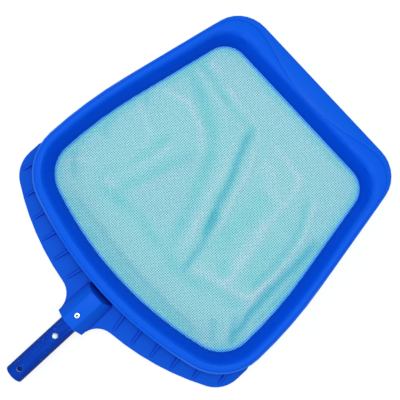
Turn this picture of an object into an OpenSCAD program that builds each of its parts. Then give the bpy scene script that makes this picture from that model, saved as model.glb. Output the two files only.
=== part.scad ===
// Leaf skimmer net: a flat scoop with a fine net, for a telescopic pool pole.
// +Y runs along the handle towards the front lip, +X is transverse, +Z is up.
// The origin is the centre of the outline, on the plane that the frame rests on.

/* [Handle tube] */
// Outside diameter of the handle tube
tube_od = 28; // [25:0.5:30]
// Wall thickness of the handle tube
tube_wall = 1.2; // [1:0.1:1.6]
// Length of tube that stands out of the socket
tube_free = 104.5; // [100:1:200]
// Distance from the open end of the tube to its end holes
end_hole_at = 15; // [10:1:24]
// Diameter of the end holes
end_hole_d = 7.5; // [5:0.5:10]
// Distance from the open end of the tube to the button holes
button_at = 80.5; // [60:1:86]

/* [Pole clip] */
// Diameter of a button
button_d = 7.7; // [6:0.1:9]
// Height of a button above the tube
button_h = 5.5; // [3:0.5:6]
// Radial clearance of a button in its hole
button_gap = 0.5; // [0.4:0.1:0.8]
// Distance from the seated end of the tube to the pivot in the clip's bend
clip_end_in = 12; // [6:1:18]
// Width of a clip leg
clip_w = 9; // [7:0.5:11]
// Thickness of a clip leg
clip_t = 1.8; // [1.4:0.1:2.2]

/* [Rivet] */
// Diameter of the rivet's shank
rivet_d = 4; // [3.2:0.2:5]
// Diameter of the rivet's flange
rivet_head_d = 8; // [7:0.5:10]
// Distance from the rear of the socket to the rivet
rivet_at = 17.5; // [12:0.5:24]

/* [Handle socket] */
// Clearance between the lower button and the ground
ground_gap = 0.5; // [0.5:0.5:3]
// Length of the socket
socket_l = 57; // [50:1:70]
// Thickness of the socket's closed end
socket_end_t = 5; // [3:0.5:8]
// Full width of the socket across its side edges
socket_w = 48; // [46:1:56]
// Width of the socket's flat top and bottom
socket_flat = 20.5; // [16:1:24]
// Wall of the socket above and below the tube
socket_wall = 3.5; // [2.5:0.1:5]
// Lean of the upper half of the socket's front face
socket_slope = 3.5; // [0:0.5:6]
// Gap between the socket's front and the back of the rim
socket_slot = 5.5; // [4:0.5:12]

/* [Frame outline] */
// Length of the frame, from the back of the rim to the front lip
frame_l = 424; // [330:1:500]
// Greatest width of the frame
frame_w = 428; // [350:1:500]
// Radius of the back edge
back_r = 560; // [450:5:800]
// Radius of the back corners
corner_r = 78; // [60:1:100]
// Radius of the bulge in the sides
side_r = 665; // [450:5:900]
// Angle at which each side runs in towards the front
side_taper = 11.2; // [8:0.5:15]
// Radius of the front corners
front_r = 50; // [34:1:60]

/* [Frame section] */
// Height of the rim above the ground, at the back and sides
rim_z = 36; // [34:0.5:42]
// Height of the rim above the ground, at the front
front_z = 33; // [29:0.5:38]
// Width of the frame in plan, from its edge to the net opening
band_w = 22.5; // [18:0.5:30]
// Extra width of the frame in plan at the middle of the back
back_extra_w = 3; // [0:0.5:6]
// Width of the frame in plan at the front, lip included
front_band_w = 43; // [38:0.5:60]
// Plan width of the sloping inner wall
wall_run = 14; // [12:0.5:16]
// Bulge of the inner wall, where 1 is a straight slope
wall_curve = 1.8; // [1.1:0.1:1.8]
// Drop of the rim towards its edge at the back and sides
edge_drop = 0.8; // [0:0.1:2]
// Drop of the lip towards its edge at the front
lip_drop = 4; // [1:0.5:6]
// Thickness of the lip at its edge
lip_t = 3; // [2.8:0.1:4]
// Radius of the net opening's front corners
opening_front_r = 36; // [24:1:44]
// Width of the ledge that carries the net, inside the opening
ledge_w = 3; // [2:0.5:6]
// Thickness of the ledge
ledge_t = 3; // [2:0.5:5]

/* [Clamp ring] */
// Thickness of the clamp ring
ring_t = 2.2; // [1.8:0.1:3]
// Clearance between the clamp ring and the frame under it
ring_gap = 0.4; // [0.3:0.1:0.6]
// Distance from the frame's edge to the ring's seam at the sides
seam_side = 3.4; // [1:0.1:5]
// Distance from the lip's edge to the seam beside the front corners
seam_corner = 9; // [5:0.2:14]
// Distance from the lip's edge to the seam at the middle of the front
seam_middle = 31; // [20:0.5:34]

/* [Rear flange] */
// Distance that the flange stands out behind the rim
flange_out = 35; // [28:1:44]
// Radius of the flange's rear edge
flange_r = 390; // [350:5:500]
// Radius of the flange's corners
flange_corner_r = 45; // [38:1:60]
// Distance that the flange stands out beyond the frame's widest point
flange_side = 3; // [1:0.5:8]
// Thickness of the flange
flange_t = 3; // [2.5:0.5:4]
// Radius of the fillets between the flange and the socket
fillet_r = 30; // [24:1:50]
// Spacing of the gusset ribs
rib_pitch = 31; // [26:0.5:33]
// Distance from the centre line to the first rib
rib_first = 50.8; // [46:0.2:56]
// Lean of the ribs towards the centre line
rib_lean = 12; // [0:1:16]
// Thickness of a rib
rib_t = 2.2; // [1.2:0.1:2.2]

/* [Net] */
// Thickness of the net
net_t = 0.5; // [0.3:0.1:0.6]
// Width of net clamped under the ring
net_hem = 2; // [1:0.1:2.2]
// Depth to which the slack net sags
net_sag = 1.6; // [0:0.1:2]
// Height of the main folds
fold_h = 4; // [0:0.5:6]

/* [Hidden] */

// Places along the handle's axis
overall_l = tube_free + socket_l + socket_slot + frame_l;
y_tube_end = -overall_l / 2;
y_socket_rear = y_tube_end + tube_free;
y_socket_front = y_socket_rear + socket_l;
y_rim_back = y_socket_front + socket_slot;
y_lip = y_rim_back + frame_l;
y_rivet = y_socket_rear + rivet_at;
y_buttons = y_tube_end + button_at;

// The tube stops short of the socket's closed end, and holds the clip inside that end
end_gap = 1;
y_tube_seat = y_socket_front - socket_end_t - end_gap;
y_clip_pivot = y_tube_seat - clip_end_in;
clip_reach = y_clip_pivot - y_buttons;

// Heights along the handle
axis_z = tube_od / 2 + button_h + ground_gap;
socket_h = tube_od + 2 * socket_wall;
socket_top = axis_z + socket_h / 2;

// Outline arcs, each tangent to the next
c_back = [0, y_rim_back + back_r];
corner_x = frame_w / 2 - corner_r;
corner_turn = asin(corner_x / (back_r - corner_r));
c_corner = [corner_x, c_back.y - (back_r - corner_r) * cos(corner_turn)];
c_side = [frame_w / 2 - side_r, c_corner.y];
taper_n = [cos(side_taper), sin(side_taper)];
side_reach = taper_n * c_side + side_r;

// Steps in each stretch of half the outline, where the fan leads the straight side into its corner
n_back = 6;
n_corner = 8;
n_side = 4;
n_line = 3;
n_fan = 3;
n_front_corner = 7;
n_front = 8;
n_fan_from = n_back + n_corner + n_side + n_line;
n_corner_from = n_fan_from + n_fan;
n_front_from = n_corner_from + n_front_corner;
n_half = n_front_from + n_front;

// Heights of the stack that clamps the net
net_gap = 0.2;
net_z = ledge_t + net_gap;
ring_low = net_z + net_t + net_gap;

// Flange arcs
flange_top = axis_z;
c_flange = [0, y_rim_back - flange_out + flange_r];
flange_x = frame_w / 2 + flange_side;
flange_corner_x = flange_x - flange_corner_r;
flange_turn = asin(flange_corner_x / (flange_r - flange_corner_r));
c_flange_corner = [flange_corner_x, c_flange.y - (flange_r - flange_corner_r) * cos(flange_turn)];
fillet_x = socket_w / 2 + fillet_r;
fillet_turn = asin(fillet_x / (flange_r + fillet_r));
c_fillet = [fillet_x, c_flange.y - (flange_r + fillet_r) * cos(fillet_turn)];
fillet_start = 180 - asin(max(0, (y_socket_rear - c_fillet.y) / fillet_r));
flange_straight = 18;
flange_end_in = 13;
flange_end_on = 46;
rib_count = 6;
// Extra width of the frame where the ribs meet its corner
corner_extra = 0.6 * back_extra_w;
rib_back = 1;
rib_drop = 7;
// A rib ends this far short of the middle of the rim's wall, so that its corner stays in the wall
rib_short = 0.5;

function spot(c, r, a) = c + r * [cos(a), sin(a)];
function arc(c, r, from, to, n) = [for (i = [1:n]) spot(c, r, from + (to - from) * i / n)];
function between(a, b, f) = a + (b - a) * f;
function line(a, b, n) = [for (i = [1:n]) between(a, b, i / n)];
function mirrored(half) = [for (i = [len(half) - 2:-1:1]) [-half[i].x, half[i].y]];
function repeated(half) = concat(half, [for (i = [len(half) - 2:-1:1]) half[i]]);

// Centre of a front corner, for an outline inset by e whose front line lies at y
function front_centre(e, y, r) =
    let (cy = y - r)
    [(side_reach - e - r - cy * taper_n.y) / taper_n.x, cy];

// The front corner of the opening, and the points beside it where the fan starts
c_opening = front_centre(band_w, y_lip - front_band_w, opening_front_r);
c_edge = front_centre(0, y_lip, front_r);
opening_turn = c_opening + opening_front_r * taper_n;
edge_fan = opening_turn + band_w * taper_n;
edge_turn = c_edge + front_r * taper_n;

// Points along an arc of the back, which is pressed forward by extra where it faces straight back
function pressed_arc(c, r, from, to, n, extra) =
    [for (p = arc(c, r, from, to, n)) [p.x, p.y + extra * (c.y - p.y) / r]];

// The back and the curved part of a side, for an outline inset by e, and by extra more at the back
function rear_half(e, extra = 0) = concat(
    [[0, y_rim_back + e + extra]],
    pressed_arc(c_back, back_r - e, -90, corner_turn - 90, n_back, extra),
    pressed_arc(c_corner, corner_r - e, corner_turn - 90, 0, n_corner, extra),
    arc(c_side, side_r - e, 0, side_taper, n_side));
function side_end(e) = c_side + (side_r - e) * taper_n;

edge_half = concat(
    rear_half(0),
    line(side_end(0), edge_fan, n_line),
    line(edge_fan, edge_turn, n_fan),
    arc(c_edge, front_r, side_taper, 90, n_front_corner),
    line([c_edge.x, y_lip], [0, y_lip], n_front));

opening_half = concat(
    rear_half(band_w, back_extra_w),
    line(side_end(band_w), opening_turn, n_line),
    arc(c_opening, opening_front_r, side_taper, 90, n_fan + n_front_corner),
    line([c_opening.x, y_lip - front_band_w], [0, y_lip - front_band_w], n_front));

edge_line = concat(edge_half, mirrored(edge_half));
opening_line = concat(opening_half, mirrored(opening_half));
stations = len(edge_line);

// How far round the front a station is: 0 at the back and sides, 1 along the front
function eased(f) = f * f * (3 - 2 * f);
function passed(i, from, n) = eased(min(max((i - from) / n, 0), 1));
front_share = repeated([for (i = [0:n_half]) passed(i, n_fan_from, n_fan + n_front_corner)]);

// Distance from the edge to the seam between the frame and the clamp ring
seam_gap = 0.2;
function seam_at(i) =
    i <= n_front_from
        ? between(seam_side, seam_corner, passed(i, n_fan_from, n_fan + n_front_corner))
        : let (x = 1 - (i - n_front_from) / n_front)
          seam_corner + (seam_middle - seam_corner) * pow(1 - x * x, 1.5);
seam = repeated([for (i = [0:n_half]) seam_at(i)]);

// Plan width of the frame at a station, and the point a distance d in from its edge
function band(k) = norm(opening_line[k] - edge_line[k]);
function inward(k, d) = between(edge_line[k], opening_line[k], d / band(k));

// Height of the frame's upper surface, a distance d in from its edge
function surface_z(k, d) =
    let (top = between(rim_z, front_z, front_share[k]))
    let (drop = between(edge_drop, lip_drop, front_share[k]))
    let (flat = band(k) - wall_run)
    d <= flat
        ? top - drop * pow(1 - d / flat, 2)
        : ring_low + (top - ring_low) * (1 - pow((d - flat) / wall_run, wall_curve));

// A point on a layer that lies below the surface, shifted out and down and cut off at floor_z
function under(k, d, out, down, floor_z) =
    let (p = inward(k, d - out))
    [p.x, p.y, max(surface_z(k, d) - down, floor_z)];

ring_steps = [0, 0.12, 0.25, 0.4, 0.55, 0.7, 0.85, 1];
lip_steps = [0, 0.33, 0.67, 1];
wall_steps = [0, 0.2, 0.4, 0.6, 0.8, 1];

// Layers under the surface: the ring, the clearance and the frame's shell, across and down
ring_out = ring_t - 0.2;
gap_out = ring_out + ring_gap;
gap_down = ring_t + ring_gap;
shell_side = 2.2;
shell_top = 2.4;
shell_out = gap_out + shell_side;
shell_down = gap_down + shell_top;

// Distance in from the edge to the middle of the frame's wall at a height, at the back and sides
function wall_at(z) =
    let (out = (gap_out + shell_out) / 2)
    let (fall = rim_z - z - (gap_down + shell_down) / 2)
    band_w - wall_run - out + wall_run * pow(fall / (rim_z - ring_low), 1 / wall_curve);

function ring_section(k) = concat(
    [for (f = ring_steps) under(k, between(seam[k], band(k), f), 0, 0, ring_low)],
    [for (i = [len(ring_steps) - 1:-1:0])
        under(k, between(seam[k] + ring_out, band(k), ring_steps[i]), ring_out, ring_t, ring_low)]);

function frame_under(k, d) =
    let (down = between(lip_t, shell_down, min(d / (band(k) - wall_run), 1)))
    under(k, d, shell_out, down, 0);

function frame_section(k) =
    let (lip = seam[k] - seam_gap)
    let (ledge = inward(k, band(k) + ledge_w))
    let (turn = band(k) - wall_run + 1)
    concat(
        [for (f = lip_steps) under(k, lip * f, 0, 0, 0)],
        [for (f = ring_steps) under(k, between(lip + gap_out, band(k), f), gap_out, gap_down, ledge_t)],
        [[ledge.x, ledge.y, ledge_t], [ledge.x, ledge.y, 0]],
        [for (i = [len(wall_steps) - 1:-1:0]) frame_under(k, between(turn, band(k), wall_steps[i]))],
        [for (f = [0.5, 0]) frame_under(k, between(shell_out, turn, f))]);

// A closed band through one section per station. Quads from point turn_at on split the other way,
// so that facing layers of two bands have matching triangles.
module swept_band(sections, turn_at) {
    m = len(sections[0]);
    n = len(sections);
    points = [for (s = sections) for (p = s) p];
    faces = [for (k = [0:n - 1]) for (j = [0:m - 1])
        let (a = k * m + j)
        let (b = k * m + (j + 1) % m)
        let (c = (k + 1) % n * m + (j + 1) % m)
        let (d = (k + 1) % n * m + j)
        for (t = j < turn_at ? [[a, b, c], [a, c, d]] : [[a, b, d], [b, c, d]]) t];
    polyhedron(points, faces, convexity = 6);
}

// Plan of the rear flange, with the fillets that run down to the socket
module flange_plan() {
    right = concat(
        [[socket_flat / 2, y_socket_rear], spot(c_fillet, fillet_r, fillet_start)],
        arc(c_fillet, fillet_r, fillet_start, 90 + fillet_turn, 8),
        arc(c_flange, flange_r, fillet_turn - 90, flange_turn - 90, 6),
        arc(c_flange_corner, flange_corner_r, flange_turn - 90, 0, 8),
        [[flange_x, c_flange_corner.y + flange_straight],
            [flange_x - flange_end_in, c_flange_corner.y + flange_straight + flange_end_on]]);
    left = [for (i = [len(right) - 1:-1:0]) [-right[i].x, right[i].y]];
    polygon(concat(right, left));
}

module flange() {
    wall_middle = rear_half(wall_at(flange_top - flange_t / 2), back_extra_w);
    inner_half = concat(wall_middle, [[0, y_lip - front_band_w]]);
    translate([0, 0, flange_top - flange_t])
        linear_extrude(flange_t)
            difference() {
                flange_plan();
                polygon(concat(inner_half, mirrored(inner_half)));
            }
}

// Distance along a ray from p to the near side of a circle
function to_circle(p, dir, c, r) =
    let (b = (p - c) * dir)
    -b - sqrt(b * b - (p - c) * (p - c) + r * r);

// Distance along a ray from p to the outline inset by e, over the back and its right corner
function to_outline(p, dir, e) =
    let (t = to_circle(p, dir, c_back, back_r - e - back_extra_w))
    let (x = p.x + t * dir.x)
    x < (back_r - e) * sin(corner_turn)
        ? t
        : to_circle(p, dir, c_corner, corner_r - e - corner_extra);

// The flange's rear edge at a distance x from the centre line
function flange_edge(x) =
    x < flange_r * sin(flange_turn)
        ? [x, c_flange.y - sqrt(flange_r * flange_r - x * x)]
        : [x, c_flange_corner.y - sqrt(pow(flange_corner_r, 2) - pow(x - flange_corner_x, 2))];

// One gusset rib on the right-hand side, x from the centre line
module rib(x) {
    foot_z = flange_top - 0.5;
    tip_z = rim_z - rib_drop;
    p = flange_edge(x);
    dir = [-sin(rib_lean), cos(rib_lean)];
    translate([p.x, p.y, 0])
        rotate([90, 0, 90 + rib_lean])
            linear_extrude(rib_t, center = true)
                polygon([
                    [rib_back, foot_z],
                    [to_outline(p, dir, wall_at(foot_z) - rib_short), foot_z],
                    [to_outline(p, dir, wall_at(tip_z) - rib_short), tip_z]]);
}

module ribs() {
    for (i = [0:rib_count - 1]) {
        rib(rib_first + rib_pitch * i);
        mirror([1, 0, 0]) rib(rib_first + rib_pitch * i);
    }
}

// Octagonal socket, drawn across the handle's axis, with the upper half of its front face leaning
module socket_block() {
    side_h = 4;
    half = [
        [socket_flat / 2, socket_h / 2], [socket_w / 2, side_h / 2],
        [socket_w / 2, -side_h / 2], [socket_flat / 2, -socket_h / 2]];
    difference() {
        translate([0, y_socket_front, axis_z])
            rotate([90, 0, 0])
                linear_extrude(socket_l)
                    polygon(concat(half, [for (i = [3:-1:0]) [-half[i].x, half[i].y]]));
        translate([-socket_w, 0, 0])
            rotate([90, 0, 90])
                linear_extrude(2 * socket_w)
                    polygon([
                        [y_socket_front, axis_z + side_h / 2], [y_socket_front + 1, axis_z + side_h / 2],
                        [y_socket_front + 1, socket_top + 1], [y_socket_front - socket_slope, socket_top + 1],
                        [y_socket_front - socket_slope, socket_top]]);
    }
}

// A box from one corner to the opposite one
module box_between(a, b) {
    translate(a) cube(b - a);
}

// Walls and floor of the deep slot between the socket and the rim
slot_wall = 2;
slot_low = 3;
slot_under_rim = 4;

module slot_walls() {
    box_between(
        [-socket_w / 2, y_socket_front - 1, slot_low],
        [socket_w / 2, y_rim_back + slot_under_rim + slot_wall, flange_top - flange_t / 2]);
}

module slot_hollow() {
    box_between(
        [slot_wall - socket_w / 2, y_socket_front, slot_low + slot_wall],
        [socket_w / 2 - slot_wall, y_rim_back + slot_under_rim, flange_top + 1]);
}

// A round bar along the handle's axis, from y1 to y2
module bar_y(y1, y2, d) {
    translate([0, y1, axis_z]) rotate([-90, 0, 0]) cylinder(d = d, h = y2 - y1, $fn = 96);
}

// A drilling down through the handle, or from its axis up
module drill_z(y, d, through) {
    translate([0, y, axis_z])
        cylinder(d = d, h = (through ? 2 : 1) * socket_h, center = through, $fn = 48);
}

module lower_frame() {
    seat_gap = 0.05;
    color([0.06, 0.32, 0.86])
        difference() {
            union() {
                swept_band([for (k = [0:stations - 1]) frame_section(k)], len(lip_steps) + len(ring_steps));
                flange();
                ribs();
                socket_block();
                slot_walls();
            }
            slot_hollow();
            bar_y(y_socket_rear - 1, y_tube_seat + end_gap, tube_od + 2 * seat_gap);
            drill_z(y_rivet, rivet_d + 2 * rivet_gap, false);
        }
}

module clamp_ring() {
    color([0.02, 0.25, 0.8])
        swept_band([for (k = [0:stations - 1]) ring_section(k)], len(ring_steps));
}

// Height at p of a soft ridge of width w between a and b
function ridge(p, a, b, w) =
    let (along = (b - a) / norm(b - a))
    let (t = (p - a) * along)
    let (side = norm(p - a - along * min(max(t, 0), norm(b - a))))
    exp(-pow(side / w, 2));

// Main folds of the slack net: across the middle, in from the left side, along the right side
fold_a = [[-24, 185], [52, -8]];
fold_b = [[-146, 200], [-30, 197]];
fold_c = [[132, 140], [158, 0]];

// Height of the net above its hem, a share f of the way from the middle to the hem
function net_rise(p, f) =
    (1 - pow(f, 4)) * (fold_h * ridge(p, fold_a[0], fold_a[1], 15)
        + 0.7 * fold_h * ridge(p, fold_b[0], fold_b[1], 14)
        + 0.8 * fold_h * ridge(p, fold_c[0], fold_c[1], 16)
        - net_sag);

module net() {
    shares = [1, 0.97, 0.86, 0.72, 0.57, 0.42, 0.27, 0.12];
    middle = [0, (y_rim_back + y_lip) / 2];
    hem = [for (k = [0:stations - 1]) inward(k, band(k) - net_hem)];
    rings = len(shares);
    side = [for (r = [0:rings - 1]) for (p = hem)
        let (q = between(middle, p, shares[r]))
        [q.x, q.y, net_z + (r < 2 ? 0 : net_rise(q, shares[r]))]];
    centre = [middle.x, middle.y, net_z + net_rise(middle, 0)];
    low = concat(side, [centre]);
    high = [for (p = low) p + [0, 0, net_t]];
    count = len(low);
    last = (rings - 1) * stations;
    grid = [for (r = [0:rings - 2]) for (k = [0:stations - 1])
        let (k2 = (k + 1) % stations)
        let (a = r * stations)
        for (t = [[a + k, a + k2, a + stations + k2], [a + k, a + stations + k2, a + stations + k]]) t];
    cap = [for (k = [0:stations - 1]) [last + k, last + (k + 1) % stations, count - 1]];
    sheet = concat(grid, cap);
    wall = [for (k = [0:stations - 1])
        let (k2 = (k + 1) % stations)
        for (t = [[k, count + k, count + k2], [k, count + k2, k2]]) t];
    color([0.55, 0.82, 0.86])
        polyhedron(
            concat(low, high),
            concat(sheet, [for (t = sheet) [t[2] + count, t[1] + count, t[0] + count]], wall),
            convexity = 6);
}

module handle_tube() {
    button_hole_d = button_d + 2 * button_gap;
    color([0.05, 0.2, 0.62])
        difference() {
            bar_y(y_tube_end, y_tube_seat, tube_od);
            bar_y(y_tube_end - 1, y_tube_seat + 1, tube_od - 2 * tube_wall);
            drill_z(y_tube_end + end_hole_at, end_hole_d, true);
            drill_z(y_buttons, button_hole_d, true);
            drill_z(y_rivet, rivet_d + 2 * rivet_gap, false);
        }
}

// Blind rivet: a flanged body with its tail upset inside the tube, and the stub of its mandrel
rivet_gap = 0.05;
rivet_bore = 2.3;
rivet_tail_h = 3;
rivet_tail_z = axis_z + tube_od / 2 - tube_wall;
rivet_foot_z = rivet_tail_z - rivet_tail_h;

module rivet_body() {
    head_h = 1.1;
    head_z = socket_top + 0.02;
    tail_r = rivet_d / 2 + 0.9;
    bore_r = tube_od / 2 - tube_wall;
    shoulder_z = axis_z + sqrt(bore_r * bore_r - tail_r * tail_r) - rivet_gap;
    color([0.9, 0.9, 0.92])
        translate([0, y_rivet, 0])
            rotate_extrude($fn = 48)
                polygon([
                    [rivet_bore / 2, rivet_foot_z],
                    [tail_r - 0.3, rivet_foot_z],
                    [tail_r, rivet_foot_z + rivet_tail_h / 2],
                    [tail_r, shoulder_z],
                    [rivet_d / 2, shoulder_z],
                    [rivet_d / 2, head_z],
                    [rivet_head_d / 2, head_z],
                    [rivet_head_d / 2 - 0.4, head_z + head_h * 0.6],
                    [rivet_d / 2, head_z + head_h],
                    [rivet_bore / 2, head_z + head_h]]);
}

module rivet_mandrel() {
    stem_d = rivet_bore - 2 * rivet_gap;
    head_d = 3;
    head_h = 1.8;
    tip_h = 0.5;
    stub_z = socket_top + 0.3;
    color([0.45, 0.45, 0.47])
        translate([0, y_rivet, 0])
            rotate_extrude($fn = 48)
                polygon([
                    [0, rivet_foot_z - head_h],
                    [head_d / 2, rivet_foot_z - head_h + tip_h],
                    [head_d / 2, rivet_foot_z - rivet_gap],
                    [stem_d / 2, rivet_foot_z - rivet_gap],
                    [stem_d / 2, stub_z],
                    [0, stub_z]]);
}

// Pivot height of a leg above the tube's axis, and the leg's slope up to its button
clip_pivot_up = 3.6;
button_foot_up = tube_od / 2 - tube_wall - 3.2;
leg_slope = atan((button_foot_up - clip_pivot_up) / clip_reach);

// The bend that joins the two legs, a half ring open towards the buttons
module clip_bend() {
    bend_r = clip_pivot_up + clip_t / 2;
    color([0.93, 0.93, 0.9])
        translate([-clip_w / 2, y_clip_pivot, axis_z])
            rotate([90, 0, 90])
                linear_extrude(clip_w)
                    difference() {
                        circle(r = bend_r, $fn = 64);
                        circle(r = bend_r - clip_t, $fn = 64);
                        translate([-2 * bend_r, -2 * bend_r]) square([2 * bend_r, 4 * bend_r]);
                    }
}

// A leg with its button, drawn above the tube's axis
module clip_leg() {
    bend_gap = 0.15;
    leg_end = 7;
    translate([0, y_clip_pivot, clip_pivot_up])
        rotate([-leg_slope, 0, 0])
            translate([-clip_w / 2, -clip_reach / cos(leg_slope) - leg_end, -clip_t / 2])
                cube([clip_w, clip_reach / cos(leg_slope) + leg_end - bend_gap, clip_t]);
    button_r = button_d / 2;
    top_up = tube_od / 2 + button_h;
    translate([0, y_buttons, 0])
        rotate_extrude($fn = 64)
            polygon(concat(
                [[0, button_foot_up - 0.2], [button_r, button_foot_up - 0.2]],
                [for (a = [0:10:90]) [button_r * cos(a), top_up - button_h * (1 - sin(a))]]));
}

module clip_upper_leg() {
    color([0.95, 0.95, 0.93]) translate([0, 0, axis_z]) clip_leg();
}

module clip_lower_leg() {
    color([0.95, 0.95, 0.93]) translate([0, 0, axis_z]) mirror([0, 0, 1]) clip_leg();
}

lower_frame();
clamp_ring();
net();
handle_tube();
rivet_body();
rivet_mandrel();
clip_bend();
clip_upper_leg();
clip_lower_leg();
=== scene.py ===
import math

import bmesh
import bpy
import numpy as np
from mathutils import Matrix, Vector, noise


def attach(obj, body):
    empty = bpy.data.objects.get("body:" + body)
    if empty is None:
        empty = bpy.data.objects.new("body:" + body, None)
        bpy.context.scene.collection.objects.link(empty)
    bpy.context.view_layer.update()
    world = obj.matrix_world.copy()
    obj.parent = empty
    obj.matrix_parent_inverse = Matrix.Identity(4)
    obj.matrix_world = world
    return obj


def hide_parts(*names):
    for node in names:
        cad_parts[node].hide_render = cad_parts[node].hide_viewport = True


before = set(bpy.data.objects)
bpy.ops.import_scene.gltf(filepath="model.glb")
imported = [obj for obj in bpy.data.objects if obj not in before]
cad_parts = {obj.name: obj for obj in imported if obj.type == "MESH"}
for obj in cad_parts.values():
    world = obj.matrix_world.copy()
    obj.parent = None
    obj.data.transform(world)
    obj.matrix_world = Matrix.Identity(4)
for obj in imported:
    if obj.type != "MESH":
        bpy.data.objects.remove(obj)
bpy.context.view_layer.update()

scene = bpy.context.scene
scene.view_settings.view_transform = "Standard"


# ---------------------------------------------------------------- Studio
# A pale sheet of floor under an even pale surround, with a wide soft lamp overhead and a weak
# one low down on the handle's side. The camera looks almost straight down on the skimmer.

FLOOR_SIZE = 8
FLOOR_Z = -0.0001
PAPER = (0.25, 0.25, 0.25, 1)
PAPER_GLOW = 0.78
SKY_LIGHT = (0.62, 0.8, 1, 1)
SKY_STRENGTH = 0.48
SKY_SEEN = (0.85, 0.88, 0.9, 1)
WHITE = (1, 1, 1, 1)

CAMERA_AT = (0.0176, 0.02052, 0.81605)
CAMERA_ROLL = -0.826
CAMERA_PITCH = 0.0517
CAMERA_YAW = -0.0183
LENS_MM = 50.4
SENSOR_MM = 36
NEAREST_SEEN = 0.01


def join(tree, value, socket):
    """Links a socket to another one, or gives it a plain value."""
    if isinstance(value, bpy.types.NodeSocket):
        tree.links.new(value, socket)
    else:
        socket.default_value = value


def add(tree, kind, **values):
    """A new shader node, with its plain settings and the values of its sockets."""
    made = tree.nodes.new("ShaderNode" + kind)
    for name, value in values.items():
        if hasattr(made, name):
            setattr(made, name, value)
        else:
            made.inputs[name.replace("_", " ")].default_value = value
    return made


def maths(tree, operation, *values, clamp=False):
    """A Math node on sockets or plain numbers; gives its output socket."""
    made = add(tree, "Math", operation=operation, use_clamp=clamp)
    for value, socket in zip(values, made.inputs):
        join(tree, value, socket)
    return made.outputs[0]


def fresh_material(name):
    """An empty material, its node tree and its output node."""
    material = bpy.data.materials.new(name)
    material.use_nodes = True
    tree = material.node_tree
    tree.nodes.clear()
    return material, tree, tree.nodes.new("ShaderNodeOutputMaterial")


def seen_directly(tree):
    """1 for rays from the camera, and for those that a gloss or a clear surface sends on."""
    path = tree.nodes.new("ShaderNodeLightPath")
    direct = maths(tree, "MAXIMUM", path.outputs["Is Camera Ray"], path.outputs["Is Glossy Ray"])
    return maths(tree, "MAXIMUM", direct, path.outputs["Is Transmission Ray"])


def pale_paper():
    """Grey paper that takes the shadow, and that looks nearly white of itself."""
    material, tree, out = fresh_material("studio_floor")
    paper = add(tree, "BsdfDiffuse", Color=PAPER)
    glow = add(tree, "Emission", Color=WHITE)
    join(tree, maths(tree, "MULTIPLY", seen_directly(tree), PAPER_GLOW), glow.inputs["Strength"])
    both = tree.nodes.new("ShaderNodeAddShader")
    join(tree, paper.outputs[0], both.inputs[0])
    join(tree, glow.outputs[0], both.inputs[1])
    join(tree, both.outputs[0], out.inputs["Surface"])
    return material


def pale_surround():
    """A pale blue even light, shown paler where it is seen directly."""
    surround = bpy.data.worlds.new("surround")
    surround.use_nodes = True
    tree = surround.node_tree
    tree.nodes.clear()
    even = add(tree, "Background", Color=SKY_LIGHT, Strength=SKY_STRENGTH)
    shown = add(tree, "Background", Color=SKY_SEEN, Strength=1.0)
    either = tree.nodes.new("ShaderNodeMixShader")
    join(tree, seen_directly(tree), either.inputs[0])
    join(tree, even.outputs[0], either.inputs[1])
    join(tree, shown.outputs[0], either.inputs[2])
    out = tree.nodes.new("ShaderNodeOutputWorld")
    join(tree, either.outputs[0], out.inputs["Surface"])
    return surround


def soft_lamp(name, place, size, watts):
    """A square soft lamp that points at the middle of the floor."""
    lamp = bpy.data.lights.new(name, "AREA")
    lamp.shape = "SQUARE"
    lamp.size = size
    lamp.energy = watts
    holder = bpy.data.objects.new(name, lamp)
    scene.collection.objects.link(holder)
    holder.location = place
    holder.rotation_euler = (-Vector(place)).to_track_quat("-Z", "Y").to_euler()


def steep_camera():
    """A camera that looks down, turned about its own line of sight and then tilted two ways."""
    up = Vector((math.sin(CAMERA_ROLL), math.cos(CAMERA_ROLL), 0))
    right = Vector((math.cos(CAMERA_ROLL), -math.sin(CAMERA_ROLL), 0))
    back = Vector((0, 0, 1))
    tip = Matrix.Rotation(CAMERA_PITCH, 3, right)
    up, back = tip @ up, tip @ back
    turn = Matrix.Rotation(CAMERA_YAW, 3, up)
    right, back = turn @ right, turn @ back
    lens = bpy.data.cameras.new("camera")
    lens.lens = LENS_MM
    lens.sensor_width = SENSOR_MM
    lens.clip_start = NEAREST_SEEN
    holder = bpy.data.objects.new("camera", lens)
    scene.collection.objects.link(holder)
    axes = Matrix((right, up, back)).transposed().to_4x4()
    holder.matrix_world = Matrix.Translation(Vector(CAMERA_AT)) @ axes
    return holder


bpy.ops.object.select_all(action="DESELECT")
bpy.ops.mesh.primitive_plane_add(size=FLOOR_SIZE, location=(0, 0, FLOOR_Z))
floor = bpy.context.object
floor.name = "studio_floor"
bpy.ops.object.transform_apply(location=True)
floor.data.materials.append(pale_paper())

scene.world = pale_surround()
soft_lamp("overhead", (-0.04, 0.2, 1.9), size=1.1, watts=24.6)
soft_lamp("handle_side_low", (-0.5, -1.4, 0.8), size=0.5, watts=3.8)
scene.camera = steep_camera()


# ----------------------------------------------------------- Lower frame
# One injection moulding in blue polypropylene: front lip, sloped wall, ledge under the net,
# ribbed rear flange and handle socket. Its edges are rounded by the mould.

SAME_POINT = 0.000002
FLAT_WITHIN = math.radians(0.4)
SMOOTH_BELOW = math.radians(32)
FRAME_EDGE = 0.0005
FRAME_EDGES_OVER = math.radians(40)

# Painted shade: the moulding is painted darker low down, in the low blue, where its recesses take
# less light, and lighter higher up, in the high blue
FRAME_SHADED_LOW_BLUE = (0.0062, 0.077, 0.53)
FRAME_HIGH_BLUE = (0.0035, 0.106, 0.69)

# The mould's flow marks and the fine specks of the grain, in the colour and in how dull it is
FLOW_SCALE = 14
SPECK_SCALE = 900
FLOW_IN_COLOUR = 0.5
SPECKS_IN_COLOUR = 0.2
FLOW_IN_DULLNESS = 0.12

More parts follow.
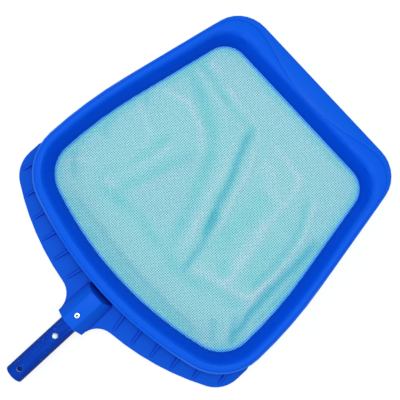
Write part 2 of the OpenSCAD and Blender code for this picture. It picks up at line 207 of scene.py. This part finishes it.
# The rim's top is lower by this much at the front, and falls between these places along Y
RIM_FALL = 0.003
RIM_FALLS = (0.13, 0.22)

# Painted shade in corners and at seams: how strongly a seam is shaded, and the least that the
# painted shade leaves: of the colour in a corner, of the colour at a seam, and of the blue in
# either
SEAM_SHADE = 1.6
CORNER_LEAVES = 0.5
SEAM_LEAVES = 0.35
SHADE_LEAVES_BLUE = 0.8

# A painted highlight along the rim's outer edge at its sides: at this height, and from none to full
# between these distances off that height, between these from the middle, and along Y
EDGE_HIGHLIGHT_BLUE = (0.055, 0.18, 0.62, 1)
EDGE_HIGHLIGHT_Z = 0.035
EDGE_HIGHLIGHT_OFF_Z = (0.00055, 0.00035)
EDGE_HIGHLIGHT_OFF_X = (0.1, 0.15)
EDGE_HIGHLIGHT_Y = (0.13, 0.09)


def only(piece):
    """Makes a piece the one selected and active object."""
    bpy.ops.object.select_all(action="DESELECT")
    piece.select_set(True)
    bpy.context.view_layer.objects.active = piece


def shell_of(node, name):
    """A merged copy of a CAD node's mesh, as a new piece that stands for it."""
    piece = bpy.data.objects.new(name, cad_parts[node].data.copy())
    scene.collection.objects.link(piece)
    piece.data.name = name
    piece.data.materials.clear()
    only(piece)
    bpy.ops.object.mode_set(mode="EDIT")
    bpy.ops.mesh.select_all(action="SELECT")
    bpy.ops.mesh.customdata_custom_splitnormals_clear()
    bpy.ops.mesh.remove_doubles(threshold=SAME_POINT)
    bpy.ops.object.mode_set(mode="OBJECT")
    return piece


def round_edges(piece, width, over):
    """Rounds the edges that turn by more than an angle, and smooths the walls between them."""
    rounding = piece.modifiers.new("rounded_edges", "BEVEL")
    rounding.width = width
    rounding.segments = 2
    rounding.limit_method = "ANGLE"
    rounding.angle_limit = over
    only(piece)
    bpy.ops.object.modifier_apply(modifier=rounding.name)
    bpy.ops.object.shade_smooth_by_angle(angle=SMOOTH_BELOW)


def new_finish(name, **values):
    """A material with one Principled shader: it, its tree, the shader, the object coordinates."""
    material, tree, out = fresh_material(name)
    shader = add(tree, "BsdfPrincipled", **values)
    join(tree, shader.outputs[0], out.inputs["Surface"])
    return material, tree, shader, tree.nodes.new("ShaderNodeTexCoord").outputs["Object"]


def xyz(tree, vector):
    """The X, Y and Z sockets of a vector."""
    made = tree.nodes.new("ShaderNodeSeparateXYZ")
    join(tree, vector, made.inputs[0])
    return made.outputs


def facing_up(tree):
    """1 on level faces, above or below, and 0 on upright ones."""
    normal = tree.nodes.new("ShaderNodeNewGeometry").outputs["Normal"]
    return maths(tree, "ABSOLUTE", xyz(tree, normal)["Z"])


def fade(tree, value, none_at, full_at):
    """0 where the value reaches one number, 1 where it reaches the other, even between them."""
    made = add(tree, "MapRange", clamp=True, From_Min=none_at, From_Max=full_at)
    join(tree, value, made.inputs["Value"])
    return made.outputs[0]


def mottle(tree, where, scale, detail, roughness=0.5):
    """Cloudy noise, around 0.5."""
    made = add(tree, "TexNoise", Scale=scale, Detail=detail, Roughness=roughness)
    join(tree, where, made.inputs["Vector"])
    return made.outputs["Fac"]


def tones(tree, share, *stops):
    """A colour that runs through its stops as a share goes from 0 to 1."""
    made = tree.nodes.new("ShaderNodeValToRGB")
    elements = made.color_ramp.elements
    for place, _ in stops[1:-1]:
        elements.new(place)
    for element, (place, colour) in zip(elements, stops):
        element.position = place
        element.color = (*colour, 1)
    join(tree, share, made.inputs["Fac"])
    return made.outputs["Color"]


def blend(tree, under, over, share=1.0, kind="MIX"):
    """One colour laid over another, or multiplied into it."""
    made = add(tree, "Mix", data_type="RGBA", blend_type=kind)
    join(tree, share, made.inputs[0])
    join(tree, under, made.inputs[6])
    join(tree, over, made.inputs[7])
    return made.outputs[2]


def openness(tree, reach, shade, leaves, only_local=False):
    """Painted shade: 1 in the open, less where something stands within reach, never less than it
    leaves.
    """
    near = add(tree, "AmbientOcclusion", samples=8, only_local=only_local, Distance=reach)
    closed = maths(tree, "SUBTRACT", 1.0, near.outputs["AO"])
    left = maths(tree, "SUBTRACT", 1.0, maths(tree, "MULTIPLY", closed, shade))
    return maths(tree, "MAXIMUM", left, leaves)


def emboss(tree, shader, height, strength, depth):
    """Raises a pattern on the surface."""
    bump = add(tree, "Bump", Strength=strength, Distance=depth)
    join(tree, height, bump.inputs["Height"])
    join(tree, bump.outputs["Normal"], shader.inputs["Normal"])


def blue_plastic(name, low, high, shade_fades_over, corner_shade, corner_reach, seam_reach, keeps_blue,
                 dullness, sheen, edge_highlight):
    """Satin moulded blue plastic with a fine grain. Painted shade makes it darker low down, in
    corners, on sheltered upright walls and at seams; a painted highlight makes the rim's outer edge
    paler."""
    material, tree, shader, where = new_finish(name, Specular_IOR_Level=sheen)
    place = xyz(tree, where)
    flow = mottle(tree, where, scale=FLOW_SCALE, detail=3)
    specks = mottle(tree, where, scale=SPECK_SCALE, detail=2, roughness=0.6)
    average = (FLOW_IN_COLOUR + SPECKS_IN_COLOUR) / 2
    uneven = maths(tree, "MULTIPLY_ADD", specks, SPECKS_IN_COLOUR, -average)
    uneven = maths(tree, "MULTIPLY_ADD", flow, FLOW_IN_COLOUR, uneven)
    # Painted shade by height, which follows the rim's top where it falls towards the lip, with the
    # flow marks and grain mixed in
    level = maths(tree, "MULTIPLY_ADD", fade(tree, place["Y"], *RIM_FALLS), RIM_FALL, place["Z"])
    height = maths(tree, "ADD", fade(tree, level, *shade_fades_over), uneven, clamp=True)
    colour = tones(tree, height, (0, low), (1, high))

    # Painted shade: darker in sheltered corners, more so on upright walls, and at seams and narrow
    # gaps, with the blue kept longest
    upright = maths(tree, "SUBTRACT", 1.0, facing_up(tree))
    shade = maths(tree, "MULTIPLY_ADD", upright, corner_shade, corner_shade)
    corners = openness(tree, corner_reach, shade, CORNER_LEAVES, only_local=True)
    seams = openness(tree, seam_reach, SEAM_SHADE, SEAM_LEAVES)
    lit = maths(tree, "MULTIPLY", corners, seams)
    blue = maths(tree, "MULTIPLY_ADD", lit, 1 - keeps_blue, keeps_blue)
    tint = tree.nodes.new("ShaderNodeCombineColor")
    join(tree, lit, tint.inputs["Red"])
    join(tree, lit, tint.inputs["Green"])
    join(tree, maths(tree, "MAXIMUM", blue, SHADE_LEAVES_BLUE), tint.inputs["Blue"])
    colour = blend(tree, colour, tint.outputs[0], kind="MULTIPLY")

    # Painted highlight: the rim's outer edge is painted paler along its sides
    off_edge = maths(tree, "ABSOLUTE", maths(tree, "SUBTRACT", place["Z"], EDGE_HIGHLIGHT_Z))
    share = maths(tree, "MULTIPLY", fade(tree, off_edge, *EDGE_HIGHLIGHT_OFF_Z), edge_highlight)
    sideways = maths(tree, "ABSOLUTE", place["X"])
    share = maths(tree, "MULTIPLY", share, fade(tree, sideways, *EDGE_HIGHLIGHT_OFF_X))
    share = maths(tree, "MULTIPLY", share, fade(tree, place["Y"], *EDGE_HIGHLIGHT_Y))
    join(tree, blend(tree, colour, EDGE_HIGHLIGHT_BLUE, share), shader.inputs["Base Color"])

    sharpest = dullness - FLOW_IN_DULLNESS / 2
    roughness = maths(tree, "MULTIPLY_ADD", flow, FLOW_IN_DULLNESS, sharpest)
    join(tree, roughness, shader.inputs["Roughness"])
    emboss(tree, shader, specks, strength=0.35, depth=0.0002)
    return material


lower = shell_of("lower_frame", "frame_moulding")
bpy.ops.object.mode_set(mode="EDIT")
bpy.ops.mesh.select_all(action="SELECT")
bpy.ops.mesh.dissolve_limited(angle_limit=FLAT_WITHIN)
bpy.ops.object.mode_set(mode="OBJECT")
round_edges(lower, FRAME_EDGE, FRAME_EDGES_OVER)
lower.data.materials.append(blue_plastic(
    "blue_moulding", FRAME_SHADED_LOW_BLUE, FRAME_HIGH_BLUE, shade_fades_over=(0.01, 0.031),
    corner_shade=0.7, corner_reach=0.027, seam_reach=0.0024, keeps_blue=0.4,
    dullness=0.46, sheen=0.045, edge_highlight=0.55))
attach(lower, "frame")
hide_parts("lower_frame")


# ------------------------------------------------------------ Clamp ring
# The upper blue moulding, pressed down over the net's hem: a thin shell that makes the rim's
# top and the sloped inner wall.

RING_EDGE = 0.0004
RING_EDGES_OVER = math.radians(50)
PAIR_FACES_WITHIN = math.radians(30)
PAIR_CORNERS_WITHIN = math.radians(80)

# Painted shade: the ring's sloped wall is painted darker below the rim's top, in the low blue, and
# lighter on the rim, in the high blue
RING_SHADED_LOW_BLUE = (0.0, 0.074, 0.685)
RING_HIGH_BLUE = (0.005, 0.104, 0.71)

ring = shell_of("clamp_ring", "ring_moulding")
bpy.ops.object.mode_set(mode="EDIT")
bpy.ops.mesh.select_all(action="SELECT")
bpy.ops.mesh.tris_convert_to_quads(face_threshold=PAIR_FACES_WITHIN,
                                   shape_threshold=PAIR_CORNERS_WITHIN)
bpy.ops.object.mode_set(mode="OBJECT")
round_edges(ring, RING_EDGE, RING_EDGES_OVER)
ring.data.materials.append(blue_plastic(
    "blue_ring", RING_SHADED_LOW_BLUE, RING_HIGH_BLUE, shade_fades_over=(0.031, 0.0357),
    corner_shade=0.2, corner_reach=0.02, seam_reach=0.0016, keeps_blue=0.75,
    dullness=0.38, sheen=0.02, edge_highlight=0.0))
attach(ring, "frame")
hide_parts("clamp_ring")


# ------------------------------------------------------------------- Net
# One flat piece of fine pale teal net, its hem clamped all round between ring and ledge.
# It is slack, so it lies in soft folds and creases from the way it was packed.

NET_Z = 0.00345
NET_STEP = 0.0025
CUT_TO_X = 0.22
CUT_TO_Y = 0.32
UPRIGHT_BELOW = 0.3

# The slack: how far the hem holds the net flat, how deep it sags, and how far and how often
# its folds wander from their lines, the same way each time, and swell or fade
HELD_FLAT = 0.028
SAG = 0.0008
WANDER = 0.0036
WANDERS_PER_METRE = 34
WANDER_SEED = 215
WANDER_LAYER = 0.3
SWELL_MEAN = 0.85
SWELL = 0.9
SWELLS_PER_METRE = 30
SWELL_LAYER = 4.1
FOLD_END = 0.16

# The weave, one thread in each pitch: the threads are its own pattern, and the darker gaps between
# them are painted shade; with a depth of colour that changes from place to place
THREAD_PITCH = 0.0028
THREAD_BASE = (0.66, 0.82, 0.835)
THREAD_GAIN = (1.0, 0.6, 0.57)
LOOSE_SCALE = 420
LOOSE_GAIN = 1.6
LOOSE_BASE = 0.2

# How closed the net is: on the whole, more so on a thread, and more so in a crease
COVER = 0.93
THREAD_COVER = 0.02
CREASE_COVER = 0.05

# Painted light and shade of the folds: pale lilac on folds that stand up, teal on the flat, green
# in sunken folds, and a darker teal as painted shade in the creases
LILAC = (0.36, 0.567, 0.6)
TEAL = (0.235, 0.542, 0.548)
GREEN = (0.16, 0.525, 0.525)
CREASE_SHADE_TEAL = (0.077, 0.412, 0.475, 1)
HEM_BLUE = (0.042, 0.317, 0.77, 1)

# Blue shows through the net at its hem, up to this far in, and fades over this much of it.
# Beside that runs a greener band: how green, how far in, and how wide
HEM_ENDS = 0.0066
HEM_FADES = 0.004
GREEN_BAND = 1.3
GREEN_BAND_AT = 0.008
GREEN_BAND_WIDTH = 0.006

# Each fold: the points that it follows, its width, how far it stands up, how much painted shade
# darkens it, and its tone of painted light and shade, from pale lilac (-1) to green (1)
folds = [
    ([(-0.030, 0.196), (-0.012, 0.150), (0.005, 0.115), (0.022, 0.075), (0.042, 0.024)],
     0.0060, -0.0014, 0.85, 0.30),
    ([(-0.034, 0.192), (-0.016, 0.150), (0.002, 0.108), (0.018, 0.070), (0.034, 0.030)],
     0.0034, 0.0010, 0.00, 0.90),
    ([(0.024, 0.070), (0.042, 0.025), (0.050, 0.000), (0.056, -0.032)],
     0.0060, -0.0012, 0.60, 0.60),
    ([(-0.170, 0.198), (-0.120, 0.196), (-0.080, 0.187), (-0.050, 0.184), (-0.026, 0.188)],
     0.0055, -0.0012, 0.15, 0.90),
    ([(-0.162, 0.182), (-0.110, 0.165), (-0.070, 0.145), (-0.045, 0.125), (-0.030, 0.095),
      (-0.015, 0.060), (0.000, 0.025), (0.010, 0.000), (0.018, -0.030)],
     0.0085, -0.0012, 0.18, 0.90),
    ([(0.056, 0.140), (0.062, 0.085), (0.066, 0.020)], 0.0165, -0.0008, 0.00, 0.95),
    ([(0.078, 0.024), (0.104, 0.012)], 0.0110, -0.0004, 0.00, 0.70),
    ([(0.112, 0.140), (0.122, 0.080), (0.130, 0.015)], 0.0130, -0.0006, 0.00, 0.75),
    ([(0.102, 0.180), (0.120, 0.150), (0.133, 0.120), (0.140, 0.090), (0.143, 0.060),
      (0.138, 0.024)], 0.0055, -0.0012, 0.30, 0.70),
    ([(0.155, 0.150), (0.161, 0.100), (0.162, 0.060), (0.166, 0.020), (0.169, -0.010),
      (0.178, -0.052)], 0.0060, -0.0014, 0.95, 0.20),
    ([(0.175, 0.085), (0.179, 0.040), (0.181, -0.008)], 0.0035, -0.0006, 0.40, 0.20),
    ([(-0.132, -0.034), (-0.080, -0.026), (-0.040, -0.021), (0.000, -0.028), (0.050, -0.035),
      (0.080, -0.026), (0.110, -0.012), (0.160, 0.002)], 0.0095, -0.0008, 0.10, 0.80),
    ([(-0.150, -0.066), (-0.100, -0.073), (-0.050, -0.077), (0.000, -0.080), (0.050, -0.079),
      (0.100, -0.076), (0.152, -0.066)], 0.0042, -0.0010, 0.40, 0.00),
    ([(-0.156, -0.076), (-0.080, -0.086), (0.000, -0.089), (0.080, -0.086), (0.156, -0.076)],
     0.0060, 0.0000, 0.16, 0.70),
    ([(-0.140, 0.226), (0.140, 0.226)], 0.0170, 0.0000, 0.00, -0.20),
    ([(-0.103, 0.095), (-0.107, 0.050), (-0.118, 0.010), (-0.128, -0.028)],
     0.0070, -0.0006, 0.05, 0.80),
    ([(-0.058, 0.110), (-0.072, 0.060), (-0.084, 0.020), (-0.098, -0.022)],
     0.0080, -0.0006, 0.05, 0.80),
    ([(-0.184, 0.052), (-0.168, 0.018)], 0.0090, -0.0008, 0.15, 0.60),
    ([(-0.182, 0.112), (-0.156, 0.096)], 0.0045, -0.0006, 0.20, 0.70),
    ([(-0.182, -0.022), (-0.152, -0.052)], 0.0060, -0.0008, 0.35, 0.40),
    ([(0.134, -0.040), (0.160, -0.068)], 0.0050, -0.0006, 0.35, 0.30),
    ([(0.154, -0.014), (0.180, -0.050)], 0.0045, -0.0008, 0.45, 0.20),
    ([(-0.148, 0.213), (-0.112, 0.208)], 0.0060, 0.0010, 0.00, -0.80),
    ([(-0.108, 0.203), (-0.060, 0.199), (-0.035, 0.200), (-0.020, 0.193), (-0.004, 0.174)],
     0.0045, 0.0014, 0.00, -0.64),
    ([(-0.172, 0.128), (-0.135, 0.139), (-0.118, 0.148), (-0.100, 0.141), (-0.070, 0.126),
      (-0.046, 0.106)], 0.0055, 0.0014, 0.00, -0.80),
    ([(-0.180, 0.090), (-0.150, 0.085), (-0.122, 0.075), (-0.117, 0.045)],
     0.0045, 0.0010, 0.00, -0.64),
    ([(-0.115, 0.045), (-0.120, 0.000), (-0.120, -0.024), (-0.088, -0.008)],
     0.0045, 0.0009, 0.00, -0.64),
    ([(-0.089, 0.090), (-0.096, 0.045), (-0.110, 0.002)], 0.0050, 0.0007, 0.00, -0.40),
    ([(-0.050, 0.108), (-0.058, 0.050), (-0.068, 0.000), (-0.020, 0.004), (-0.030, 0.070)],
     0.0150, 0.0006, 0.24, -0.60),
    ([(-0.156, 0.192), (-0.100, 0.180), (-0.054, 0.171)], 0.0050, 0.0007, 0.00, -0.32),
    ([(-0.036, 0.165), (-0.014, 0.118), (0.004, 0.072), (0.020, 0.028), (0.034, -0.010)],
     0.0055, 0.0015, 0.00, -0.56),
    ([(-0.008, 0.182), (0.012, 0.146), (0.028, 0.102), (0.042, 0.064), (0.054, 0.028)],
     0.0048, 0.0016, 0.00, -0.56),
    ([(-0.002, 0.197), (0.040, 0.192), (0.078, 0.189), (0.084, 0.160), (0.089, 0.110)],
     0.0060, 0.0010, 0.00, -0.64),
    ([(0.087, 0.130), (0.092, 0.085), (0.100, 0.055), (0.108, 0.025), (0.112, 0.002),
      (0.080, -0.010), (0.052, -0.015)], 0.0090, 0.0011, 0.00, -0.75),
    ([(0.014, 0.167), (0.045, 0.164), (0.052, 0.148), (0.082, 0.145)], 0.0110, 0.0005, 0.00, -0.48),
    ([(0.110, 0.188), (0.130, 0.160), (0.141, 0.130), (0.149, 0.090), (0.151, 0.050),
      (0.152, 0.020), (0.138, 0.008), (0.106, 0.001)], 0.0040, 0.0014, 0.00, -0.80),
    ([(0.153, 0.028), (0.164, 0.000), (0.174, -0.038)], 0.0030, 0.0006, 0.00, -0.48),
    ([(-0.184, -0.054), (-0.166, -0.026), (-0.146, -0.017)], 0.0040, 0.0011, 0.00, -0.80),
]


def softened(points):
    """A bent line with its corners rounded off."""
    line = np.array(points)
    for _ in range(3):
        a, b = line[:-1], line[1:]
        cut = np.stack([0.75 * a + 0.25 * b, 0.25 * a + 0.75 * b], 1).reshape(-1, 2)
        line = np.vstack([line[:1], cut, line[-1:]])
    return line


def off_line(points, line):
    """How far each point is from a bent line, and how far along it the nearest spot is."""
    steps = np.linalg.norm(line[1:] - line[:-1], axis=1)
    walked = np.concatenate([[0], np.cumsum(steps)])
    nearest = np.full(len(points), np.inf)
    along = np.zeros(len(points))
    for start, step, a, b in zip(walked, steps, line[:-1], line[1:]):
        part = np.clip((points - a) @ (b - a) / step ** 2, 0, 1)
        gap = np.linalg.norm(points - a - part[:, None] * (b - a), axis=1)
        along = np.where(gap < nearest, start + part * step, along)
        nearest = np.minimum(gap, nearest)
    return nearest, along / walked[-1]


def fold_share(points, line, width):
    """How much each point is part of a fold: 1 on its line, fading sideways and at both ends."""
    gap, along = off_line(points, line)
    ends = np.clip(np.minimum(along, 1 - along) / FOLD_END, 0, 1)
    return np.exp(-(gap / width) ** 2) * ends * (2 - ends)


def net_outline():
    """The hem's outline in plan: the lower edge of the CAD net's outer wall, in order."""
    solid = bmesh.new()
    solid.from_mesh(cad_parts["net"].data)
    bmesh.ops.remove_doubles(solid, verts=solid.verts, dist=SAME_POINT)
    solid.normal_update()
    wall = {v for f in solid.faces if abs(f.normal.z) < UPRIGHT_BELOW for v in f.verts}
    spots = {(round(v.co.x, 6), round(v.co.y, 6)) for v in wall}
    solid.free()
    middle_y = sum(y for _, y in spots) / len(spots)
    return sorted(spots, key=lambda p: math.atan2(p[1] - middle_y, p[0]))


def flat_net(outline):
    """A flat sheet cut to the outline, divided into small squares so that it can fold."""
    sheet = bmesh.new()
    sheet.faces.new([sheet.verts.new((x, y, NET_Z)) for x, y in outline])
    for across, cut_to in ((Vector((1, 0, 0)), CUT_TO_X), (Vector((0, 1, 0)), CUT_TO_Y)):
        cuts = int(cut_to / NET_STEP)
        for i in range(-cuts, cuts + 1):
            bmesh.ops.bisect_plane(sheet, geom=sheet.verts[:] + sheet.edges[:] + sheet.faces[:],
                                   plane_co=across * i * NET_STEP, plane_no=across)
    mesh = bpy.data.meshes.new("net_cloth")
    sheet.to_mesh(mesh)
    sheet.free()
    return mesh


def net_material():
    """Fine plain weave, drawn in its colour as square threads along the object's X and Y, with
    painted shade in the gaps between them. The cloth is nearly closed; it is tinted by painted
    light and shade on its folds, by painted shade in its creases, and blue along the hem."""
    material, tree, shader, where = new_finish("teal_net", Roughness=0.6, Specular_IOR_Level=0.2)
    place = xyz(tree, where)
    looks = {name: add(tree, "Attribute", attribute_name=name).outputs["Fac"]
             for name in ("crease_shade", "tone", "hem")}
    waves = [maths(tree, "COSINE", maths(tree, "MULTIPLY", place[axis], 2 * math.pi / THREAD_PITCH))
             for axis in ("X", "Y")]
    weave = maths(tree, "MAXIMUM", waves[0], waves[1])
    colour = tones(tree, fade(tree, looks["tone"], -1, 1), (0, LILAC), (0.5, TEAL), (1, GREEN))
    colour = blend(tree, colour, CREASE_SHADE_TEAL, looks["crease_shade"])
    colour = blend(tree, colour, HEM_BLUE, looks["hem"])
    loose = mottle(tree, where, scale=LOOSE_SCALE, detail=1)
    contrast = maths(tree, "MULTIPLY_ADD", loose, LOOSE_GAIN, LOOSE_BASE)
    threads = add(tree, "VectorMath", operation="MULTIPLY_ADD")
    join(tree, maths(tree, "MULTIPLY", weave, contrast), threads.inputs[0])
    join(tree, THREAD_GAIN, threads.inputs[1])
    join(tree, THREAD_BASE, threads.inputs[2])
    colour = blend(tree, colour, threads.outputs[0], kind="MULTIPLY")
    join(tree, colour, shader.inputs["Base Color"])
    cover = maths(tree, "MULTIPLY_ADD", weave, THREAD_COVER, COVER)
    cover = maths(tree, "MULTIPLY_ADD", looks["crease_shade"], CREASE_COVER, cover, clamp=True)
    join(tree, cover, shader.inputs["Alpha"])
    emboss(tree, shader, weave, strength=0.4, depth=0.0002)
    return material


outline = net_outline()
net_mesh = flat_net(outline)
net = bpy.data.objects.new("net_cloth", net_mesh)
scene.collection.objects.link(net)
plan = np.array([v.co[:2] for v in net_mesh.vertices])
to_hem = off_line(plan, np.array(outline + outline[:1]))[0]

noise.seed_set(WANDER_SEED)
wandering = np.array([noise.noise_vector(Vector((x, y, WANDER_LAYER)))[:2]
                      for x, y in plan * WANDERS_PER_METRE]) * WANDER
swelling = np.array([SWELL_MEAN + SWELL * noise.noise(Vector((x, y, SWELL_LAYER)))
                     for x, y in plan * SWELLS_PER_METRE])
rise = np.full(len(plan), -SAG)
# Painted light and shade of the folds: one value darkens the creases, and the tone runs from pale
# on raised folds to green in sunken ones; a greener band runs beside the hem
crease_shade = np.zeros(len(plan))
tone = GREEN_BAND * swelling * np.exp(-((to_hem - GREEN_BAND_AT) / GREEN_BAND_WIDTH) ** 2)
for line, width, height, crease_shading, greener in folds:
    share = fold_share(plan + wandering, softened(line), width)
    rise += height * share * swelling
    crease_shade += crease_shading * share
    tone += greener * share * swelling

free = np.clip(to_hem / HELD_FLAT, 0, 1)
free = free * free * (3 - 2 * free)
for vertex, height in zip(net_mesh.vertices, rise * free):
    vertex.co.z = NET_Z + height
hem = np.clip((HEM_ENDS - to_hem) / HEM_FADES, 0, 1)
for name, values in (("crease_shade", np.clip(crease_shade, 0, 1)), ("tone", np.clip(tone, -1, 1)), ("hem", hem)):
    layer = net_mesh.attributes.new(name, "FLOAT", "POINT")
    layer.data.foreach_set("value", values.astype(np.float32))
net_mesh.polygons.foreach_set("use_smooth", [True] * len(net_mesh.polygons))
net_mesh.materials.append(net_material())
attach(net, "frame")
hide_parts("net")


# ----------------------------------------------------------- Handle tube
# Drawn aluminium tube, 28 mm outside, anodised blue. The drawing leaves streaks along it, and
# handling leaves fine pale scratches; the drilled holes show bare metal.

TUBE_AXIS_Z = 0.02
INSIDE_TUBE = 0.0124
END_HOLES_AT = (0, -0.2805)
BARE_WITHIN = 0.0038

DEEP_DYE = (0.0017, 0.036, 0.34)
PALE_DYE = (0.005, 0.057, 0.46)
SCRATCHED = (0.17, 0.28, 0.65, 1)
CUT_METAL = (0.9, 0.92, 0.94, 1)

# Noise scales, and how far each pattern is drawn out along the tube
STREAK_SCALE = 1400
STREAK_STRETCH = 0.035
SCRATCH_SCALE = 620
SCRATCH_STRETCH = 0.22
SCRATCHED_OVER = 0.68
SCRATCH_EDGE = 1 / 6

TUBE_DULLNESS = 0.34
STREAKS_IN_DULLNESS = 0.2

# Painted shade: the tube's colour is darker towards the flanks, down to this share of it
FLANK_SHADE = 0.46
TOP_SPREAD = 1.25


def around(tree, where, axis):
    """Distance in plan from an upright axis."""
    flat = add(tree, "VectorMath", operation="MULTIPLY")
    join(tree, where, flat.inputs[0])
    join(tree, (1, 1, 0), flat.inputs[1])
    off_axis = add(tree, "VectorMath", operation="DISTANCE")
    join(tree, flat.outputs[0], off_axis.inputs[0])
    join(tree, (*axis, 0), off_axis.inputs[1])
    return off_axis.outputs["Value"]


def along_tube(tree, where, stretch):
    """Coordinates in which a pattern is drawn out along the tube."""
    made = add(tree, "Mapping", Scale=(1.0, stretch, 1.0))
    join(tree, where, made.inputs["Vector"])
    return made.outputs[0]


def anodised_tube():
    """Blue anodising with drawn streaks and fine pale scratches, with painted shade on the flanks,
    and cut through to bare metal at the end holes."""
    material, tree, shader, where = new_finish("blue_anodised", Metallic=0.1,
                                               Specular_IOR_Level=0.03)
    drawn = along_tube(tree, where, STREAK_STRETCH)
    streaks = mottle(tree, drawn, scale=STREAK_SCALE, detail=3)
    colour = tones(tree, streaks, (0.35, DEEP_DYE), (0.7, PALE_DYE))
    slid = along_tube(tree, where, SCRATCH_STRETCH)
    scratches = mottle(tree, slid, scale=SCRATCH_SCALE, detail=1)
    scratched = fade(tree, scratches, SCRATCHED_OVER, SCRATCHED_OVER + SCRATCH_EDGE)
    colour = blend(tree, colour, SCRATCHED, scratched)
    # Painted shade on the tube's flanks
    upward = maths(tree, "MULTIPLY", facing_up(tree), TOP_SPREAD, clamp=True)
    flank_shade = maths(tree, "MULTIPLY_ADD", upward, 1 - FLANK_SHADE, FLANK_SHADE)
    colour = blend(tree, colour, flank_shade, kind="MULTIPLY")
    off_axis = maths(tree, "ABSOLUTE", maths(tree, "SUBTRACT", xyz(tree, where)["Z"], TUBE_AXIS_Z))
    in_wall = maths(tree, "GREATER_THAN", off_axis, INSIDE_TUBE)
    by_hole = maths(tree, "LESS_THAN", around(tree, where, END_HOLES_AT), BARE_WITHIN)
    colour = blend(tree, colour, CUT_METAL, maths(tree, "MULTIPLY", in_wall, by_hole))
    join(tree, colour, shader.inputs["Base Color"])
    roughness = maths(tree, "MULTIPLY_ADD", streaks, STREAKS_IN_DULLNESS, TUBE_DULLNESS)
    join(tree, roughness, shader.inputs["Roughness"])
    emboss(tree, shader, streaks, strength=0.2, depth=0.0001)
    return material


def refinish(node, material):
    """Gives a CAD node's every material slot one finish."""
    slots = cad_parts[node].data.materials
    for i in range(len(slots)):
        slots[i] = material


refinish("handle_tube", anodised_tube())


# ----------------------------------------------------------------- Rivet
# Aluminium blind rivet through the socket's top and the tube, with the steel mandrel's stub.
# Its flange is bright; painted shade darkens the recess in its middle and the edge that
# meets the socket.

RIVET_AT = (0, -0.1735)
# The ring round the rivet's axis that stays bright, and how much painted shade leaves inside and
# outside it
BRIGHT_FROM = 0.0016
BRIGHT_TO = 0.0036
SHADED_TO = 0.16
MARKED_TO = 0.8
MARKS_IN_DULLNESS = 0.15

# The rivet's colour is aluminium with a painted blue reflection of the plastic around it; the
# mandrel's steel is painted very dark, as shade in the rivet's recess
RIVET_ALUMINIUM_REFLECTING_BLUE = (0.8, 0.94, 1.0)
MANDREL_STEEL_IN_SHADE = (0.07, 0.07, 0.08)


def bare_metal(name, colour, dullness):
    """Metal with fine marks, bright in a ring round the rivet's axis, with painted shade in the
    recess inside the ring and at the edge outside it.
    """
    material, tree, shader, where = new_finish(name, Metallic=1.0)
    marks = mottle(tree, where, scale=1500, detail=4)
    metal = tones(tree, marks, (0, [c * MARKED_TO for c in colour]), (1, colour))
    # Painted shade in the recess and at the edge that meets the socket
    off_centre = around(tree, where, RIVET_AT)
    bright = maths(tree, "MULTIPLY", maths(tree, "GREATER_THAN", off_centre, BRIGHT_FROM),
                   maths(tree, "LESS_THAN", off_centre, BRIGHT_TO))
    recess_and_edge_shade = maths(tree, "MULTIPLY_ADD", bright, 1 - SHADED_TO, SHADED_TO)
    join(tree, blend(tree, metal, recess_and_edge_shade, kind="MULTIPLY"), shader.inputs["Base Color"])
    roughness = maths(tree, "MULTIPLY_ADD", marks, MARKS_IN_DULLNESS, dullness)
    join(tree, roughness, shader.inputs["Roughness"])
    emboss(tree, shader, marks, strength=0.15, depth=0.0001)
    return material


refinish("rivet_body", bare_metal("rivet_aluminium", RIVET_ALUMINIUM_REFLECTING_BLUE, dullness=0.3))
refinish("rivet_mandrel", bare_metal("mandrel_steel", MANDREL_STEEL_IN_SHADE, dullness=0.45))


# ------------------------------------------------------------- Pole clip
# One V of white nylon strip inside the tube, sprung outwards so that a button on each leg
# stands through its hole.

NYLON_SHADED = (0.9, 0.94, 0.95)
NYLON_WHITE = (0.98, 1, 1)


def white_nylon():
    """Faintly cloudy white nylon with a soft gloss."""
    material, tree, shader, where = new_finish("clip_nylon", Roughness=0.35,
                                               Specular_IOR_Level=1.0)
    cloud = mottle(tree, where, scale=600, detail=3)
    colour = tones(tree, cloud, (0, NYLON_SHADED), (1, NYLON_WHITE))
    join(tree, colour, shader.inputs["Base Color"])
    emboss(tree, shader, cloud, strength=0.15, depth=0.0001)
    return material


nylon = white_nylon()
for part in ("clip_bend", "clip_upper_leg", "clip_lower_leg"):
    refinish(part, nylon)
